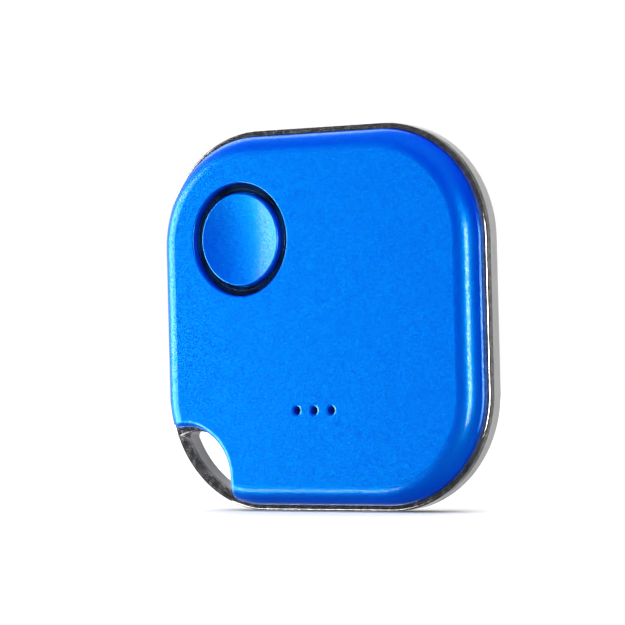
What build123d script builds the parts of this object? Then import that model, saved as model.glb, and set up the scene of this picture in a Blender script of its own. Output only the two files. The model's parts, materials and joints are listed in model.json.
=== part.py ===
from build123d import *
import math
import os

# Bluetooth tracker tag: a rounded-square press-button tag with a key loop in one corner.
# The model is drawn lying on its back: X to the right of the face, Y up the face and Z out
# of the front. Depths are counted from the front face towards the back. stand() turns each
# finished piece upright: X right, the face looking along -Y, Z up, origin under the middle.

# Overall body
WIDTH = 36.0
HEIGHT = 36.0
THICKNESS = 6.0
CORNER_RADIUS = 11.0

# Clearances
GAP = 0.05
SLIDING_GAP = 0.10
BOARD_GAP = 0.15
GLUE_GAP = 0.02
FILM_GAP = 0.005
NUB_GAP = 0.01
OVERCUT = 0.10
TOLERANCE = 0.001

# Front cover
COVER_INSET = 0.57
COVER_SHOULDER = 1.90
COVER_EDGE_DEPTH = 1.94
COVER_RIM_DEPTH = 2.30
COVER_WALL = 0.90
COVER_FACE_WALL = 0.80
COVER_INNER_ROUND = 0.55

# Bite in the corner that leaves room for a key ring, and the loop bar across it
BITE_CENTRE_INSET = 3.05
BITE_RADIUS = 5.00
BITE_ROUND = 0.65
LOOP_LAND_WIDTH = 0.50
LOOP_BAR_WIDTH = 1.00
LOOP_FRONT_DEPTH = 2.25
LOOP_HOLE_ROUND = 0.45

# Plated bezel
BEZEL_BACK_DEPTH = 2.67
BEZEL_EDGE_ROUND = 0.22
LOOP_STEP = 0.08
LOOP_GROOVE_INSET = 0.42
LOOP_GROOVE_WIDTH = 0.14
LOOP_GROOVE_DEPTH = 0.08

# Inner frame: the satin band behind the bezel, and what it carries inside
FRAME_INSET = 0.05
FRAME_WALL = 0.90
FRAME_BACK_DEPTH = 4.15
FRAME_BACK_ROUND = 0.40
WEB_DEPTH = 2.95
WEB_WALL = 0.40
SPIGOT_INSET = 1.60
SPIGOT_WALL = 0.50
SPIGOT_BACK_DEPTH = 4.65
COLLAR_WALL = 0.70
COLLAR_BACK_DEPTH = 4.60
BUZZER_ROOM_GAP = 0.20
CONTACT_ROOM_GAP = 0.30
FINGER_NOTCH_ANGLE = 300
FINGER_NOTCH_REACH = 3.0
FINGER_NOTCH_WIDTH = 5.0

# Back cover
BACK_INSET = 0.20
BACK_SHOULDER = 3.00
BACK_WALL = 0.60
BACK_SEAM = 0.06
BACK_BITE_STEP = 0.35
PRY_SLOT_PLACE = 8.0
PRY_SLOT_LENGTH = 5.0
PRY_SLOT_DEPTH = 0.85
PRY_SLOT_HEIGHT = 0.60

# Press button and its light ring
BUTTON_LEFT_INSET = 10.0
BUTTON_TOP_INSET = 10.3
BUTTON_RADIUS = 4.40
BUTTON_RIM_DEPTH = 0.08
BUTTON_DISH_DEPTH = 0.42
BUTTON_EDGE_ROUND = 0.16
BUTTON_TRAVEL = 0.20
BUTTON_FLANGE_WIDTH = 0.50
BUTTON_FLANGE_WALL = 0.18
BUTTON_NUB_RADIUS = 0.90
RING_WIDTH = 0.95
APERTURE_ROUND = 0.15
RING_FACE_DEPTH = 0.55
RING_GROOVE_OFFSET = 0.30
RING_GROOVE_WIDTH = 0.08
RING_GROOVE_DEPTH = 0.06
RING_FLANGE_WIDTH = 0.80
RING_FLANGE_WALL = 0.18

# Dome switch under the button
DOME_RADIUS = 2.00
DOME_RISE = 0.25
DOME_SHEET = 0.06
FILM_SHEET = 0.05
FILM_RADIUS = 2.90

# Sound outlet
SOUND_HOLE_COUNT = 3
SOUND_HOLE_PITCH = 1.93
SOUND_HOLE_RADIUS = 0.40
SOUND_HOLE_FLARE = 0.17
SOUND_HOLE_FLARE_DEPTH = 0.08
SOUND_BOTTOM_INSET = 9.50
MESH_SHEET = 0.08
MESH_MARGIN = 0.90
GASKET_WALL = 1.00

# Circuit board
BOARD_DEPTH = 1.45
BOARD_THICKNESS = 0.60

# Coin cell, size 2032
CELL_RADIUS = 10.0
CELL_THICKNESS = 3.20
CELL_RIGHT_INSET = 3.60
CELL_TOP_INSET = 3.40
CELL_CAP_STEP = 1.10
CELL_CAP_RISE = 0.35
CELL_BASE_ROUND = 0.30
CELL_MOUTH_ROUND = 0.12
CELL_CAP_ROUND = 0.21
CELL_SHEET = 0.25
CELL_SEAL_WALL = 0.45
CELL_RADIAL_GAP = 0.20
CELL_SEPARATOR = 0.10
CELL_CATHODE_SHARE = 0.62

# Battery contacts
NEGATIVE_SHEET = 0.10
NEGATIVE_HUB_RADIUS = 2.0
NEGATIVE_ARM_LENGTH = 6.0
NEGATIVE_ARM_WIDTH = 1.6
NEGATIVE_ARM_ANGLES = [90, 210, 330]
POSITIVE_SHEET = 0.20
POSITIVE_WIDTH = 4.0
POSITIVE_FOOT = 1.6
POSITIVE_ANGLE = 205.0

# Buzzer
BUZZER_SIDE = 9.0
BUZZER_HEIGHT = 1.70
BUZZER_WALL = 0.35
BUZZER_CORNER_ROUND = 0.50
BUZZER_STEP_WIDTH = 0.30
BUZZER_PLATE_RADIUS = 3.80
BUZZER_PLATE_SHEET = 0.10
BUZZER_DISC_RADIUS = 2.60
BUZZER_DISC_SHEET = 0.12
BUZZER_EDGE_INSET = 2.90
BUZZER_PORT_LENGTH = 6.0
BUZZER_PORT_WIDTH = 1.2

# Places on the board are insets from the body's sides: from the right side and the top if
# positive, and from the left side and the bottom if negative.

# Heat-staked pins that hold the board in the front cover
PIN_RADIUS = 0.55
PIN_HEAD_RADIUS = 0.85
PIN_HEAD_HEIGHT = 0.30
PIN_HEAD_ROUND = 0.18
PIN_INSETS = [(5.7, -5.7), (5.2, 5.2), (-5.2, 5.2), (-10.8, -4.6)]

# Snap tabs of the front cover: (side, place along that side)
TAB_WIDTH = 4.0
TAB_WALL = 0.50
TAB_END_DEPTH = 3.80
TAB_HOOK = 0.22
TAB_HOOK_HEIGHT = 0.35
TAB_SIDE_GAP = 0.15
TAB_PLACES = [("right", -3.5), ("left", -1.0), ("top", 3.5), ("bottom", 4.0)]

# Small board parts: insets of the middle, then length, width and height
RADIO_CHIP_INSETS = (-6.0, -15.4)
RADIO_CHIP_SIZE = (4.0, 4.0, 0.75)
ANTENNA_INSETS = (-3.0, 9.8)
ANTENNA_SIZE = (1.6, 3.2, 0.60)
CRYSTAL_INSETS = (-5.4, 16.3)
CRYSTAL_SIZE = (2.0, 1.6, 0.45)
CRYSTAL_ROUND = 0.25
INDUCTOR_INSETS = (-9.8, -16.0)
INDUCTOR_SIZE = (1.6, 0.8, 0.55)
CAPACITOR_INSETS = [(-9.6, -14.0), (-9.6, -12.6), (-5.2, -11.8), (-7.2, -11.8), (-8.2, 16.1)]
CAPACITOR_SIZE = (1.0, 0.5, 0.35)
RESISTOR_INSETS = [(-3.1, 15.6), (-3.1, 14.0), (-11.4, 2.8), (7.2, -9.8), (5.2, -9.8)]
RESISTOR_SIZE = (0.5, 1.0, 0.35)
LIGHT_ANGLES = [60, 240]
LIGHT_SIZE = (1.6, 1.6, 0.45)
LIGHT_WINDOW_RADIUS = 0.55
TEST_PAD_COUNT = 5
TEST_PAD_RADIUS = 0.50
TEST_PAD_PITCH = 1.40
TEST_PAD_SHEET = 0.04
TEST_PAD_INSETS = (9.4, -3.6)


def from_sides(insets):
    """Point from its insets: positive from the right and top, negative from the left and bottom."""
    across, up = insets
    x = math.copysign(WIDTH / 2, across) - across
    y = math.copysign(HEIGHT / 2, up) - up
    return x, y


# Places worked out from the sizes above
LOOP_HOLE_RADIUS = BITE_RADIUS - LOOP_LAND_WIDTH
APERTURE_RADIUS = BUTTON_RADIUS + RING_WIDTH
CELL_CAP_RADIUS = CELL_RADIUS - CELL_CAP_STEP
CELL_INNER_RADIUS = CELL_RADIUS - CELL_SHEET - CELL_SEAL_WALL
PIN_PLACES = [from_sides(insets) for insets in PIN_INSETS]
BITE_CENTRE = from_sides((-BITE_CENTRE_INSET, -BITE_CENTRE_INSET))
BUTTON_CENTRE = from_sides((-BUTTON_LEFT_INSET, BUTTON_TOP_INSET))
SOUND_CENTRE = (0.0, SOUND_BOTTOM_INSET - HEIGHT / 2)
CELL_CENTRE = from_sides((CELL_RIGHT_INSET + CELL_RADIUS, CELL_TOP_INSET + CELL_RADIUS))
BUZZER_CENTRE = (0.0, BUZZER_EDGE_INSET + BUZZER_SIDE / 2 - HEIGHT / 2)
CAVITY_INSET = COVER_INSET + COVER_WALL
CAVITY_BITE = BITE_RADIUS + COVER_WALL
BOARD_BACK = BOARD_DEPTH + BOARD_THICKNESS
CELL_FRONT = BOARD_BACK + NEGATIVE_SHEET
CELL_BACK = CELL_FRONT + CELL_THICKNESS
FLANGE_FRONT = COVER_RIM_DEPTH + GAP
FRAME_FRONT = BEZEL_BACK_DEPTH + GAP
FRAME_BITE = LOOP_HOLE_RADIUS + FRAME_WALL
BACK_FRONT = FRAME_BACK_DEPTH + BACK_SEAM
BACK_BITE = LOOP_HOLE_RADIUS + BACK_BITE_STEP
SPIGOT_BITE = FRAME_BITE + SPIGOT_INSET - FRAME_INSET - FRAME_WALL
BACK_CAVITY_END = CELL_BACK + GAP
RING_INNER_RADIUS = BUTTON_RADIUS + SLIDING_GAP
RING_FLANGE_DEPTH = COVER_FACE_WALL + GAP
BUTTON_FLANGE_FRONT = RING_FLANGE_DEPTH + RING_FLANGE_WALL + GLUE_GAP
BUTTON_FLANGE_BACK = BUTTON_FLANGE_FRONT + BUTTON_FLANGE_WALL
DOME_TOP = BOARD_DEPTH - DOME_RISE
FILM_TOP = DOME_TOP - FILM_SHEET
LIGHT_RING_MIDDLE = (RING_INNER_RADIUS + APERTURE_RADIUS) / 2


def place(point):
    return Pos(point[0], point[1])


def slab(sketch, front, back):
    """Solid from a sketch, between two depths below the front face."""
    return Pos(0, 0, THICKNESS - back) * extrude(sketch, back - front)


def outline(inset):
    """Rounded square of the body, drawn in from its edge by the inset."""
    return RectangleRounded(WIDTH - 2 * inset, HEIGHT - 2 * inset, CORNER_RADIUS - inset)


def bite(radius):
    return place(BITE_CENTRE) * Circle(radius)


def bitten(inset, radius):
    """Body outline with the bite taken out of its lower left corner."""
    return outline(inset) - bite(radius)


def disc(centre, radius, front, back):
    return slab(place(centre) * Circle(radius), front, back)


def chip(centre, size):
    """Box part on the back of the board."""
    length, width, height = size
    return slab(place(centre) * Rectangle(length, width), BOARD_BACK, BOARD_BACK + height)


def edges_at_depth(solid, depth):
    height = THICKNESS - depth
    return solid.edges().filter_by_position(Axis.Z, height - TOLERANCE, height + TOLERANCE)


def bite_crease(solid, radius):
    """The edges where the wall of the bite meets the outer skin of a cover."""
    centre = Vector(BITE_CENTRE[0], BITE_CENTRE[1])
    crease = []
    for edge in solid.edges():
        points = [edge @ 0.0, edge @ 0.5, edge @ 1.0]
        reach = [(Vector(p.X, p.Y) - centre).length for p in points]
        if max(abs(r - radius) for r in reach) < 10 * TOLERANCE:
            crease.append(edge)
    return ShapeList(crease)


def loop_hole():
    """Lens-shaped hole between the bite and the loop bar."""
    corner = Pos(CORNER_RADIUS - WIDTH / 2, CORNER_RADIUS - HEIGHT / 2)
    lens = bite(LOOP_HOLE_RADIUS) & (corner * Circle(CORNER_RADIUS - LOOP_BAR_WIDTH))
    return fillet(lens.vertices(), LOOP_HOLE_ROUND)


def tab_box(side, along, inset, reach, width, front, back):
    """Box against one side of the body, from an inset inwards by a reach."""
    if side in ("right", "left"):
        middle = WIDTH / 2 - inset - reach / 2
        x = middle if side == "right" else -middle
        return slab(Pos(x, along) * Rectangle(reach, width), front, back)
    middle = HEIGHT / 2 - inset - reach / 2
    y = middle if side == "top" else -middle
    return slab(Pos(along, y) * Rectangle(width, reach), front, back)


def front_cover():
    block = slab(outline(COVER_INSET), 0, COVER_RIM_DEPTH)
    block = fillet(edges_at_depth(block, 0), COVER_SHOULDER)
    block -= slab(bite(BITE_RADIUS), 0, COVER_RIM_DEPTH)
    front_edges = [e for e in bite_crease(block, BITE_RADIUS)
                   if e.center().Z > THICKNESS - COVER_RIM_DEPTH + TOLERANCE]
    block = fillet(front_edges, BITE_ROUND)
    cavity = slab(bitten(CAVITY_INSET, CAVITY_BITE), COVER_FACE_WALL, COVER_RIM_DEPTH)
    cavity = fillet(edges_at_depth(cavity, COVER_FACE_WALL), COVER_INNER_ROUND)
    cover = block - cavity
    aperture = disc(BUTTON_CENTRE, APERTURE_RADIUS, 0, COVER_FACE_WALL)
    cover -= aperture
    rim = [e for e in edges_at_depth(cover, 0).filter_by(GeomType.CIRCLE)
           if abs(e.radius - APERTURE_RADIUS) < TOLERANCE]
    cover = fillet(rim, APERTURE_ROUND)
    for hole in sound_holes():
        cover -= hole
    for spot in PIN_PLACES:
        cover += disc(spot, PIN_RADIUS, COVER_FACE_WALL - OVERCUT, BOARD_BACK + GAP)
        head_end = BOARD_BACK + GAP + PIN_HEAD_HEIGHT
        head = disc(spot, PIN_HEAD_RADIUS, BOARD_BACK + GAP, head_end)
        cover += fillet(edges_at_depth(head, head_end), PIN_HEAD_ROUND)
    for side, along in TAB_PLACES:
        cover += snap_tab(side, along)
    return cover


def sound_hole_centres():
    middle = (SOUND_HOLE_COUNT - 1) / 2
    x, y = SOUND_CENTRE
    return [(x + (i - middle) * SOUND_HOLE_PITCH, y) for i in range(SOUND_HOLE_COUNT)]


def sound_holes():
    """Drilled holes, each with a shallow flared mouth on the front face."""
    cuts = []
    mouth_radius = SOUND_HOLE_RADIUS + SOUND_HOLE_FLARE
    for x, y in sound_hole_centres():
        hole = disc((x, y), SOUND_HOLE_RADIUS, -OVERCUT, COVER_FACE_WALL + OVERCUT)
        mouth = Cone(SOUND_HOLE_RADIUS, mouth_radius, SOUND_HOLE_FLARE_DEPTH)
        hole += Pos(x, y, THICKNESS - SOUND_HOLE_FLARE_DEPTH / 2) * mouth
        cuts.append(hole)
    return cuts


def snap_tab(side, along):
    """Springy tab down the inside of the cover wall, with a hook at its end."""
    tab = tab_box(side, along, CAVITY_INSET + GAP, TAB_WALL, TAB_WIDTH,
                  COVER_FACE_WALL - OVERCUT, TAB_END_DEPTH)
    root = tab_box(side, along, CAVITY_INSET - OVERCUT, TAB_WALL + OVERCUT, TAB_WIDTH,
                   COVER_FACE_WALL - OVERCUT, COVER_RIM_DEPTH)
    hook = tab_box(side, along, CAVITY_INSET + GAP - TAB_HOOK, TAB_HOOK + OVERCUT, TAB_WIDTH,
                   TAB_END_DEPTH - TAB_HOOK_HEIGHT, TAB_END_DEPTH)
    return tab + root + hook


def bezel_ring():
    """Plated ring: land beside the cover, flange under its rim, and the front of the loop."""
    ring = slab(outline(0), COVER_EDGE_DEPTH, BEZEL_BACK_DEPTH)
    ring = fillet(edges_at_depth(ring, COVER_EDGE_DEPTH), BEZEL_EDGE_ROUND)
    front = COVER_EDGE_DEPTH - OVERCUT
    back = BEZEL_BACK_DEPTH + OVERCUT
    ring -= slab(loop_hole(), front, back)
    ring -= slab(bitten(COVER_INSET - GAP, BITE_RADIUS - GAP), front, FLANGE_FRONT)
    ring -= slab(bitten(CAVITY_INSET, CAVITY_BITE), front, back)
    ring -= slab(bite(LOOP_HOLE_RADIUS + LOOP_STEP), front, LOOP_FRONT_DEPTH)
    groove = outline(LOOP_GROOVE_INSET) - outline(LOOP_GROOVE_INSET + LOOP_GROOVE_WIDTH)
    groove &= bite(LOOP_HOLE_RADIUS - LOOP_STEP)
    return ring - slab(groove, front, LOOP_FRONT_DEPTH + LOOP_GROOVE_DEPTH)


def frame_band():
    """Satin band between the bezel and the back cover, with the rest of the loop."""
    band = slab(outline(FRAME_INSET), FRAME_FRONT, FRAME_BACK_DEPTH)
    band = fillet(edges_at_depth(band, FRAME_BACK_DEPTH), FRAME_BACK_ROUND)
    band -= slab(loop_hole(), FRAME_FRONT, FRAME_BACK_DEPTH)
    return band - slab(bitten(FRAME_INSET + FRAME_WALL, FRAME_BITE), FRAME_FRONT, FRAME_BACK_DEPTH)


def tab_rooms(side, along):
    """Slot for the shank of a snap tab, and the room behind the web for its hook."""
    width = TAB_WIDTH + 2 * TAB_SIDE_GAP
    end = TAB_END_DEPTH + GAP
    shank = tab_box(side, along, CAVITY_INSET, TAB_WALL + 2 * GAP, width, FRAME_FRONT, end)
    hook = tab_box(side, along, CAVITY_INSET - TAB_HOOK, TAB_HOOK + GAP, width,
                   WEB_DEPTH + WEB_WALL, end)
    return shank + hook


def inner_frame():
    """Moulded frame: outer band, web, spigot for the back cover and collar for the cell."""
    web_depth_end = WEB_DEPTH + WEB_WALL
    frame = frame_band()
    web = bitten(FRAME_INSET + FRAME_WALL - OVERCUT, FRAME_BITE - OVERCUT)
    frame += slab(web, WEB_DEPTH, web_depth_end)
    spigot = bitten(SPIGOT_INSET, SPIGOT_BITE)
    spigot -= bitten(SPIGOT_INSET + SPIGOT_WALL, SPIGOT_BITE + SPIGOT_WALL)
    frame += slab(spigot, WEB_DEPTH, SPIGOT_BACK_DEPTH)
    collar_radius = CELL_RADIUS + CELL_RADIAL_GAP
    frame += disc(CELL_CENTRE, collar_radius + COLLAR_WALL, WEB_DEPTH, COLLAR_BACK_DEPTH)
    frame -= disc(CELL_CENTRE, collar_radius, FRAME_FRONT, THICKNESS)
    room_side = BUZZER_SIDE + 2 * BUZZER_ROOM_GAP
    frame -= slab(place(BUZZER_CENTRE) * Rectangle(room_side, room_side), FRAME_FRONT, THICKNESS)
    contact_room = contact_sketch(CONTACT_ROOM_GAP, POSITIVE_FOOT + 2 * CONTACT_ROOM_GAP)
    frame -= slab(contact_room, FRAME_FRONT, THICKNESS)
    for spot in PIN_PLACES:
        frame -= disc(spot, PIN_HEAD_RADIUS + GAP, FRAME_FRONT, web_depth_end)
    for side, along in TAB_PLACES:
        frame -= tab_rooms(side, along)
    notch = Pos(collar_radius, 0) * Rectangle(FINGER_NOTCH_REACH, FINGER_NOTCH_WIDTH)
    notch = place(CELL_CENTRE) * Rot(0, 0, FINGER_NOTCH_ANGLE) * notch
    return frame - slab(notch, web_depth_end, THICKNESS)


def back_cover():
    """Domed battery cover behind the frame band, with a pry slot in its lower edge."""
    block = slab(outline(BACK_INSET), THICKNESS - BACK_SHOULDER - OVERCUT, THICKNESS)
    block = fillet(edges_at_depth(block, THICKNESS), BACK_SHOULDER)
    block -= slab(outline(0), 0, BACK_FRONT)
    block -= slab(bite(BACK_BITE), BACK_FRONT, THICKNESS)
    back_edges = [e for e in bite_crease(block, BACK_BITE)
                  if e.center().Z < THICKNESS - BACK_FRONT - TOLERANCE]
    block = fillet(back_edges, BITE_ROUND)
    inner_round = BACK_SHOULDER - BACK_WALL
    cavity = slab(outline(BACK_INSET + BACK_WALL), BACK_CAVITY_END - inner_round - OVERCUT,
                  BACK_CAVITY_END)
    cavity = fillet(edges_at_depth(cavity, BACK_CAVITY_END), inner_round)
    cavity -= slab(bite(BACK_BITE + BACK_WALL), 0, THICKNESS)
    pry = tab_box("bottom", PRY_SLOT_PLACE, 0, PRY_SLOT_DEPTH, PRY_SLOT_LENGTH,
                  BACK_FRONT, BACK_FRONT + PRY_SLOT_HEIGHT)
    return block - cavity - pry


def button_cap():
    """Dished cap with a retaining flange and a nub over the switch."""
    cap = disc(BUTTON_CENTRE, BUTTON_RADIUS, BUTTON_RIM_DEPTH, BUTTON_FLANGE_BACK)
    cap = fillet(edges_at_depth(cap, BUTTON_RIM_DEPTH), BUTTON_EDGE_ROUND)
    dish_radius = BUTTON_RADIUS - BUTTON_EDGE_ROUND
    sphere_radius = (dish_radius ** 2 + BUTTON_DISH_DEPTH ** 2) / (2 * BUTTON_DISH_DEPTH)
    dish_height = THICKNESS - BUTTON_RIM_DEPTH - BUTTON_DISH_DEPTH + sphere_radius
    ball = Pos(BUTTON_CENTRE[0], BUTTON_CENTRE[1], dish_height) * Rot(90, 0, 0)
    cap -= ball * Sphere(sphere_radius)
    flange_radius = BUTTON_RADIUS + BUTTON_FLANGE_WIDTH
    cap += disc(BUTTON_CENTRE, flange_radius, BUTTON_FLANGE_FRONT, BUTTON_FLANGE_BACK)
    switch_room = FILM_TOP - BUTTON_TRAVEL - GAP
    cap -= disc(BUTTON_CENTRE, FILM_RADIUS + BOARD_GAP, switch_room, BUTTON_FLANGE_BACK)
    nub = disc(BUTTON_CENTRE, BUTTON_NUB_RADIUS, switch_room - OVERCUT, FILM_TOP - NUB_GAP)
    return cap + nub


def light_ring():
    """Dark translucent ring around the button, glued behind the aperture."""
    ring = disc(BUTTON_CENTRE, APERTURE_RADIUS - GAP, RING_FACE_DEPTH,
                RING_FLANGE_DEPTH + RING_FLANGE_WALL)
    flange_radius = APERTURE_RADIUS + RING_FLANGE_WIDTH
    ring += disc(BUTTON_CENTRE, flange_radius, RING_FLANGE_DEPTH,
                 RING_FLANGE_DEPTH + RING_FLANGE_WALL)
    ring -= disc(BUTTON_CENTRE, RING_INNER_RADIUS, 0, BOARD_DEPTH)
    groove_inner = RING_INNER_RADIUS + RING_GROOVE_OFFSET
    groove = Circle(groove_inner + RING_GROOVE_WIDTH) - Circle(groove_inner)
    return ring - slab(place(BUTTON_CENTRE) * groove, 0, RING_FACE_DEPTH + RING_GROOVE_DEPTH)


def dome_ball(offset):
    """Ball whose cap is the outside of the snap dome, grown by an offset."""
    radius = (DOME_RADIUS ** 2 + DOME_RISE ** 2) / (2 * DOME_RISE)
    middle = Pos(BUTTON_CENTRE[0], BUTTON_CENTRE[1], THICKNESS - DOME_TOP - radius)
    return middle * Sphere(radius + offset)


def switch_dome():
    """Thin snap dome, a spherical cap standing on the board."""
    shell = dome_ball(0) - dome_ball(-DOME_SHEET)
    return shell & disc(BUTTON_CENTRE, DOME_RADIUS, 0, BOARD_DEPTH)


def switch_film():
    """Clear film over the dome, flat on the board around it."""
    film = disc(BUTTON_CENTRE, FILM_RADIUS, BOARD_DEPTH - FILM_SHEET, BOARD_DEPTH)
    film += dome_ball(FILM_SHEET) & disc(BUTTON_CENTRE, FILM_RADIUS, 0, BOARD_DEPTH - FILM_SHEET)
    return film - dome_ball(FILM_GAP)


def circuit_board():
    board = slab(bitten(CAVITY_INSET + BOARD_GAP, CAVITY_BITE + BOARD_GAP), BOARD_DEPTH, BOARD_BACK)
    for spot in PIN_PLACES:
        board -= disc(spot, PIN_RADIUS + GAP, BOARD_DEPTH, BOARD_BACK)
    for side, along in TAB_PLACES:
        board -= tab_box(side, along, CAVITY_INSET, TAB_WALL + GAP + BOARD_GAP,
                         TAB_WIDTH + 2 * TAB_SIDE_GAP, BOARD_DEPTH, BOARD_BACK)
    for spot in light_places():
        board -= disc(spot, LIGHT_WINDOW_RADIUS, BOARD_DEPTH, BOARD_BACK)
    board -= slab(sound_slot(0), BOARD_DEPTH, BOARD_BACK)
    return board


def light_places():
    """Centres of the two lights, under the middle of the ring."""
    spots = []
    for angle in LIGHT_ANGLES:
        x = BUTTON_CENTRE[0] + LIGHT_RING_MIDDLE * math.cos(math.radians(angle))
        y = BUTTON_CENTRE[1] + LIGHT_RING_MIDDLE * math.sin(math.radians(angle))
        spots.append((x, y))
    return spots


def sound_slot(margin):
    """Rounded slot behind the sound holes, grown by a margin."""
    length = BUZZER_PORT_LENGTH + 2 * margin
    width = BUZZER_PORT_WIDTH + 2 * margin
    return place(SOUND_CENTRE) * SlotOverall(length, width)


def sound_mesh():
    return slab(sound_slot(MESH_MARGIN), COVER_FACE_WALL, COVER_FACE_WALL + MESH_SHEET)


def sound_gasket():
    """Foam seal between the cover and the board, around the sound path."""
    front = COVER_FACE_WALL + MESH_SHEET
    ring = slab(sound_slot(GASKET_WALL), front, BOARD_DEPTH)
    return ring - slab(sound_slot(OVERCUT), front, BOARD_DEPTH)


def buzzer_case():
    """Square case open to the board, with a rim step for the sounding plate."""
    case = slab(place(BUZZER_CENTRE) * Rectangle(BUZZER_SIDE, BUZZER_SIDE), BOARD_BACK,
                BOARD_BACK + BUZZER_HEIGHT)
    case = fillet(case.edges().filter_by(Axis.Z), BUZZER_CORNER_ROUND)
    front = BOARD_BACK + BUZZER_WALL
    back = BOARD_BACK + BUZZER_HEIGHT - BUZZER_WALL
    case -= disc(BUZZER_CENTRE, BUZZER_PLATE_RADIUS - BUZZER_STEP_WIDTH, front, back)
    step_end = front + 2 * BUZZER_PLATE_SHEET
    case -= disc(BUZZER_CENTRE, BUZZER_PLATE_RADIUS + GLUE_GAP, front, step_end)
    return case - slab(sound_slot(-OVERCUT), BOARD_BACK, front)


def buzzer_plate():
    """Brass sounding plate, on the step inside the case."""
    front = BOARD_BACK + BUZZER_WALL + BUZZER_PLATE_SHEET
    return disc(BUZZER_CENTRE, BUZZER_PLATE_RADIUS, front, front + BUZZER_PLATE_SHEET)


def buzzer_disc():
    front = BOARD_BACK + BUZZER_WALL + 2 * BUZZER_PLATE_SHEET
    return disc(BUZZER_CENTRE, BUZZER_DISC_RADIUS, front, front + BUZZER_DISC_SHEET)


def cell_can():
    """Positive cup of the coin cell, open towards the board."""
    mouth = CELL_FRONT + CELL_CAP_RISE
    can = disc(CELL_CENTRE, CELL_RADIUS, mouth, CELL_BACK)
    can = fillet(edges_at_depth(can, CELL_BACK), CELL_BASE_ROUND)
    can = fillet(edges_at_depth(can, mouth), CELL_MOUTH_ROUND)
    return can - disc(CELL_CENTRE, CELL_RADIUS - CELL_SHEET, mouth, CELL_BACK - CELL_SHEET)


def cell_seal():
    """Nylon ring that keeps the can and the cap apart."""
    mouth = CELL_FRONT + CELL_CAP_RISE
    ring = disc(CELL_CENTRE, CELL_RADIUS - CELL_SHEET, mouth, CELL_BACK - CELL_SHEET)
    return ring - disc(CELL_CENTRE, CELL_INNER_RADIUS, mouth, CELL_BACK - CELL_SHEET)


def cell_cap():
    """Negative cap of the coin cell, stepped up from the seal."""
    mouth = CELL_FRONT + CELL_CAP_RISE
    cap = disc(CELL_CENTRE, CELL_CAP_RADIUS, CELL_FRONT, mouth)
    cap = fillet(edges_at_depth(cap, CELL_FRONT), CELL_CAP_ROUND)
    cap += disc(CELL_CENTRE, CELL_INNER_RADIUS, mouth, mouth + CELL_SHEET)
    return cap - disc(CELL_CENTRE, CELL_CAP_RADIUS - CELL_SHEET, CELL_FRONT + CELL_SHEET,
                      mouth + CELL_SHEET)


def cell_layers():
    """Depths between which the anode, separator and cathode are stacked."""
    front = CELL_FRONT + CELL_CAP_RISE + CELL_SHEET
    back = CELL_BACK - CELL_SHEET
    split = back - (back - front) * CELL_CATHODE_SHARE
    return front, split, back


def cell_anode():
    front, split, _ = cell_layers()
    return disc(CELL_CENTRE, CELL_CAP_RADIUS - CELL_SHEET, front, split - CELL_SEPARATOR)


def cell_separator():
    _, split, _ = cell_layers()
    return disc(CELL_CENTRE, CELL_INNER_RADIUS, split - CELL_SEPARATOR, split)


def cell_cathode():
    _, split, back = cell_layers()
    return disc(CELL_CENTRE, CELL_INNER_RADIUS, split, back)


def negative_contact():
    """Flat star under the cell's cap, soldered to the board."""
    star = Circle(NEGATIVE_HUB_RADIUS)
    arm = Pos(NEGATIVE_ARM_LENGTH / 2, 0) * SlotOverall(NEGATIVE_ARM_LENGTH, NEGATIVE_ARM_WIDTH)
    for angle in NEGATIVE_ARM_ANGLES:
        star += Rot(0, 0, angle) * arm
    return slab(place(CELL_CENTRE) * star, BOARD_BACK, BOARD_BACK + NEGATIVE_SHEET)


def contact_sketch(gap, length):
    """Foot of the positive contact beside the cell, grown by a gap."""
    shift = CELL_RADIUS + GAP + length / 2 - gap
    turned = place(CELL_CENTRE) * Rot(0, 0, POSITIVE_ANGLE) * Pos(shift, 0)
    return turned * Rectangle(length, POSITIVE_WIDTH + 2 * gap)


def positive_contact():
    """Upright spring blade on a soldered foot, touching the side of the can."""
    foot = slab(contact_sketch(0, POSITIVE_FOOT), BOARD_BACK, BOARD_BACK + POSITIVE_SHEET)
    blade_back = CELL_BACK - 2 * CELL_SHEET
    blade = slab(contact_sketch(0, POSITIVE_SHEET), BOARD_BACK, blade_back)
    return foot + blade


def radio_chip():
    return chip(from_sides(RADIO_CHIP_INSETS), RADIO_CHIP_SIZE)


def antenna_chip():
    return chip(from_sides(ANTENNA_INSETS), ANTENNA_SIZE)


def crystal():
    can = chip(from_sides(CRYSTAL_INSETS), CRYSTAL_SIZE)
    return fillet(can.edges().filter_by(Axis.Z), CRYSTAL_ROUND)


def inductor():
    return chip(from_sides(INDUCTOR_INSETS), INDUCTOR_SIZE)


def capacitors():
    return [chip(from_sides(insets), CAPACITOR_SIZE) for insets in CAPACITOR_INSETS]


def resistors():
    return [chip(from_sides(insets), RESISTOR_SIZE) for insets in RESISTOR_INSETS]


def status_lights():
    """Lights on the back of the board that shine through its two windows."""
    return [chip(spot, LIGHT_SIZE) for spot in light_places()]


def test_pads():
    """Row of bare copper pads used to load the software."""
    x, y = from_sides(TEST_PAD_INSETS)
    return [disc((x, y + i * TEST_PAD_PITCH), TEST_PAD_RADIUS, BOARD_BACK,
                 BOARD_BACK + TEST_PAD_SHEET) for i in range(TEST_PAD_COUNT)]


def stand(shape):
    """Turn a piece from lying on its back to standing upright on the origin."""
    upright = Rot(90, 0, 0) * Pos(0, 0, -THICKNESS / 2) * shape
    return Pos(0, 0, HEIGHT / 2) * upright


def write(name, shape):
    pieces = shape if isinstance(shape, list) else [shape]
    standing = [stand(piece) for piece in pieces]
    whole = standing[0] if len(standing) == 1 else Compound(children=standing)
    export_step(whole, "parts/" + name + ".step")


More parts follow.
